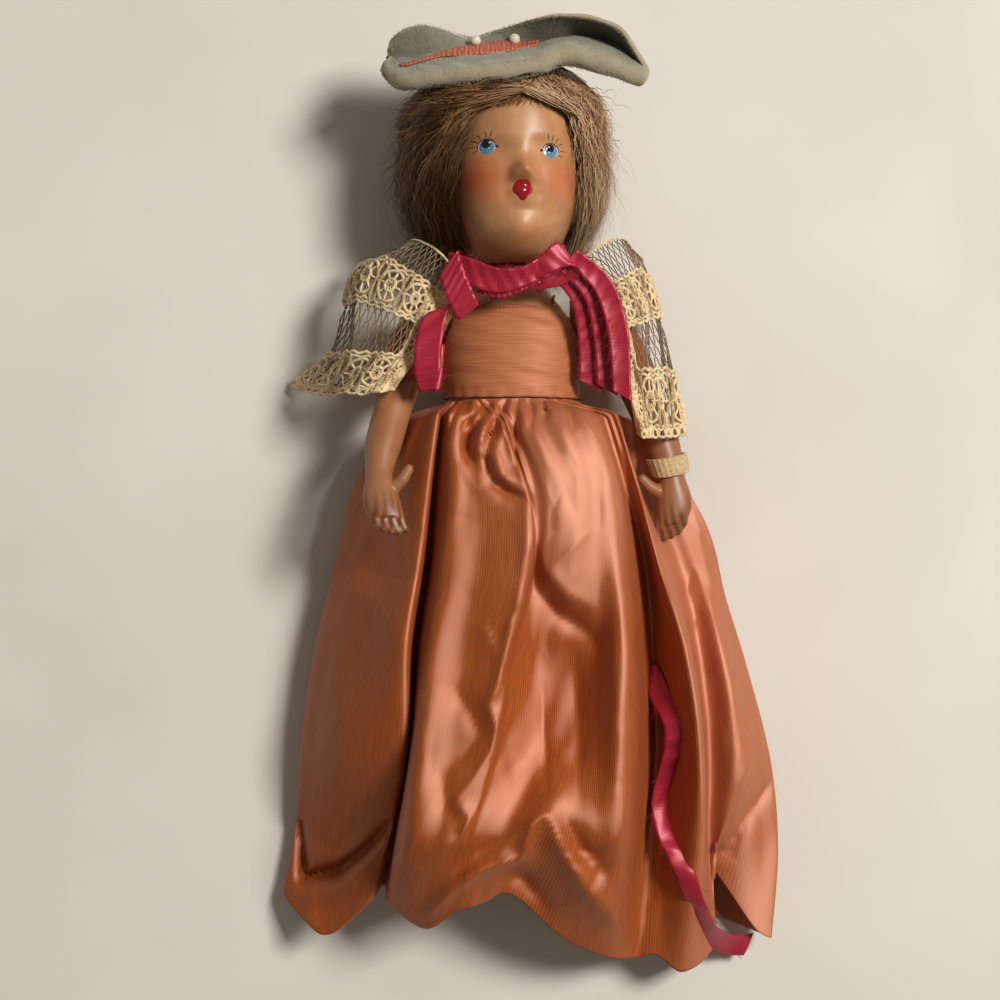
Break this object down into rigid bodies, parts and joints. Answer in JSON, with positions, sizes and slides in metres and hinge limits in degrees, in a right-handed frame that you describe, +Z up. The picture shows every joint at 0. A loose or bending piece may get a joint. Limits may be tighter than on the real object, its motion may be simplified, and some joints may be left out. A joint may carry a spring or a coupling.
{
  "type": "hard plastic doll",
  "caption": "Small strung hard plastic doll in a gathered taffeta gown with a lace cape, satin bow, mohair wig and felt hat; head, arms and legs turn.",
  "frame": {"origin": "on the surface the doll lies on, under the middle of its box", "axes": "+X to the doll's left, +Y from feet to head, +Z up out of its front"},
  "size_m": [0.1028, 0.2007, 0.0431],
  "materials": {
    "skin": "painted satin",
    "taffeta": "ribbed taffeta",
    "lace": "cotton lace and net",
    "satin_ribbon": "satin",
    "felt": "wool felt",
    "mohair": "mohair",
    "cap_cloth": "buckram",
    "steel_wire": "plain",
    "elastic": "covered cord",
    "pearl": "pearl"
  },
  "bodies": {
    "torso": {"torso_front": "skin", "torso_back": "skin", "arm_elastic": "elastic", "leg_elastic": "elastic", "bodice": "taffeta", "back_snaps": "steel_wire", "skirt": "taffeta", "left_lace": "lace", "right_lace": "lace", "neck_ribbon": "satin_ribbon", "bow_left": "satin_ribbon", "bow_right": "satin_ribbon", "skirt_streamer": "satin_ribbon"},
    "head": {"head_face": "skin", "head_back": "skin", "neck_hook": "steel_wire", "wig_cap": "cap_cloth", "wig": "mohair", "felt_hat": "felt", "hat_ribbon": "satin_ribbon", "hat_pins": "pearl"},
    "left_arm": {"left_arm": "skin", "left_arm_hook": "steel_wire", "left_sleeve": "taffeta", "wrist_band": "lace"},
    "right_arm": {"right_arm": "skin", "right_arm_hook": "steel_wire", "right_sleeve": "taffeta"},
    "left_leg": {"left_leg": "skin", "left_leg_hook": "steel_wire"},
    "right_leg": {"right_leg": "skin", "right_leg_hook": "steel_wire"}
  },
  "joints": [
    {"name": "head_turn", "type": "hinge", "parent": "torso", "child": "head", "pos_m": [-0.0042, 0.04515, 0.015], "axis": [0, 1, 0], "range_deg": [-51, 39], "deforming": ["leg_elastic"]},
    {"name": "left_shoulder", "type": "hinge", "parent": "torso", "child": "left_arm", "pos_m": [0.00995, 0.03665, 0.015], "axis": [-1, 0, 0], "range_deg": [0, 116], "deforming": ["arm_elastic", "left_lace"]},
    {"name": "right_shoulder", "type": "hinge", "parent": "torso", "child": "right_arm", "pos_m": [-0.01835, 0.03665, 0.015], "axis": [-1, 0, 0], "range_deg": [0, 94], "deforming": ["arm_elastic", "right_lace"]},
    {"name": "left_hip", "type": "hinge", "parent": "torso", "child": "left_leg", "pos_m": [0.00595, -0.00535, 0.015], "axis": [-1, 0, 0], "range_deg": [0, 10], "deforming": ["leg_elastic"]},
    {"name": "right_hip", "type": "hinge", "parent": "torso", "child": "right_leg", "pos_m": [-0.01435, -0.00535, 0.015], "axis": [-1, 0, 0], "range_deg": [0, 10], "deforming": ["leg_elastic"]}
  ]
}
